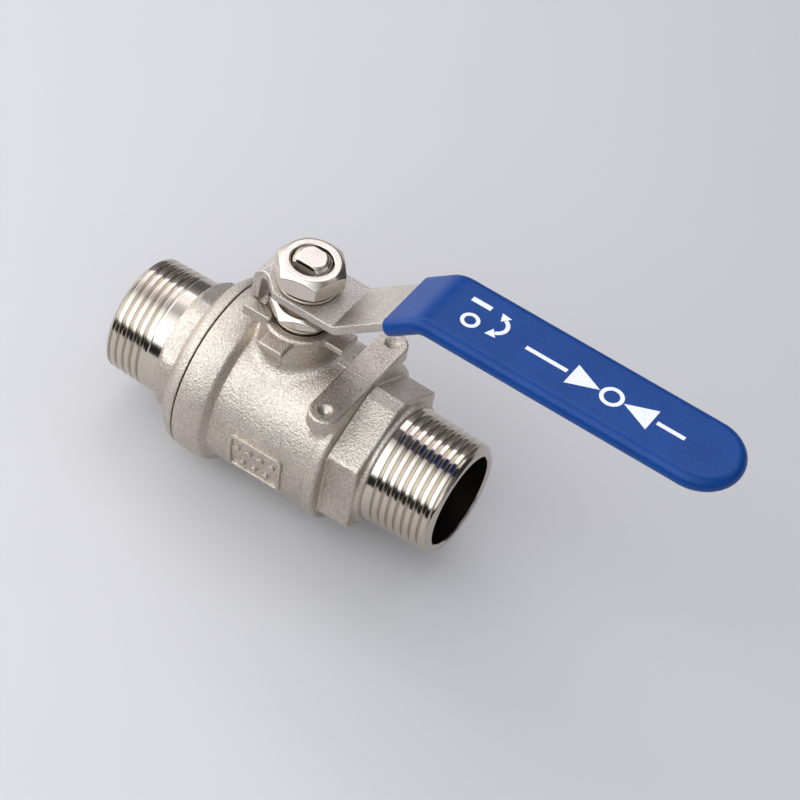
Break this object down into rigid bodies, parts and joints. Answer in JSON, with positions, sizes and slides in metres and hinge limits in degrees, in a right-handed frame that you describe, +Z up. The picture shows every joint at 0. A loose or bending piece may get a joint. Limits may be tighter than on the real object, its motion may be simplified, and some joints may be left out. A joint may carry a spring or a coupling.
{
  "type": "ball valve",
  "caption": "Two-piece stainless steel ball valve with male pipe threads at both ends and a cranked lever in a blue vinyl sleeve that turns a bored ball.",
  "frame": {"origin": "centre of the ball, where the stem's axis meets the pipe's axis", "axes": "+X along the pipe towards the body's own threaded end, which is also where the open lever points; +Z up the stem; +Y across both"},
  "size_m": [0.1702, 0.0504, 0.0895],
  "materials": {
    "cast_steel": "investment-cast stainless steel, fine blasted grain; threads machined bright",
    "machined_steel": "machined stainless steel, bright",
    "sheet_steel": "pressed stainless sheet, satin",
    "ptfe": "white fluoropolymer, smooth",
    "blue_vinyl": null
  },
  "bodies": {
    "housing": {"body": "cast_steel", "end_cap": "cast_steel", "body_gasket": "ptfe", "seat_ring_right": "ptfe", "seat_ring_left": "ptfe", "thrust_washer": "ptfe", "packing_ring_lower": "ptfe", "packing_ring_middle": "ptfe", "packing_ring_upper": "ptfe", "gland_ring": "machined_steel"},
    "handle": {"stem": "machined_steel", "gland_washer": "machined_steel", "gland_nut": "machined_steel", "lever": "sheet_steel", "spring_washer": "machined_steel", "handle_nut": "machined_steel", "lever_sleeve": "blue_vinyl"},
    "ball_core": {"ball": "machined_steel"}
  },
  "joints": [
    {"name": "lever_turn", "type": "hinge", "parent": "housing", "child": "handle", "pos_m": [0, 0, 0.0424], "axis": [0, 0, 1], "range_deg": [-90, 0]},
    {"name": "ball_turn", "type": "hinge", "parent": "housing", "child": "ball_core", "pos_m": [0, 0, 0], "axis": [0, 0, 1], "range_deg": [-90, 0]}
  ],
  "couplings": [
    {"joint": "ball_turn", "follows": "lever_turn", "ratio": 1}
  ]
}
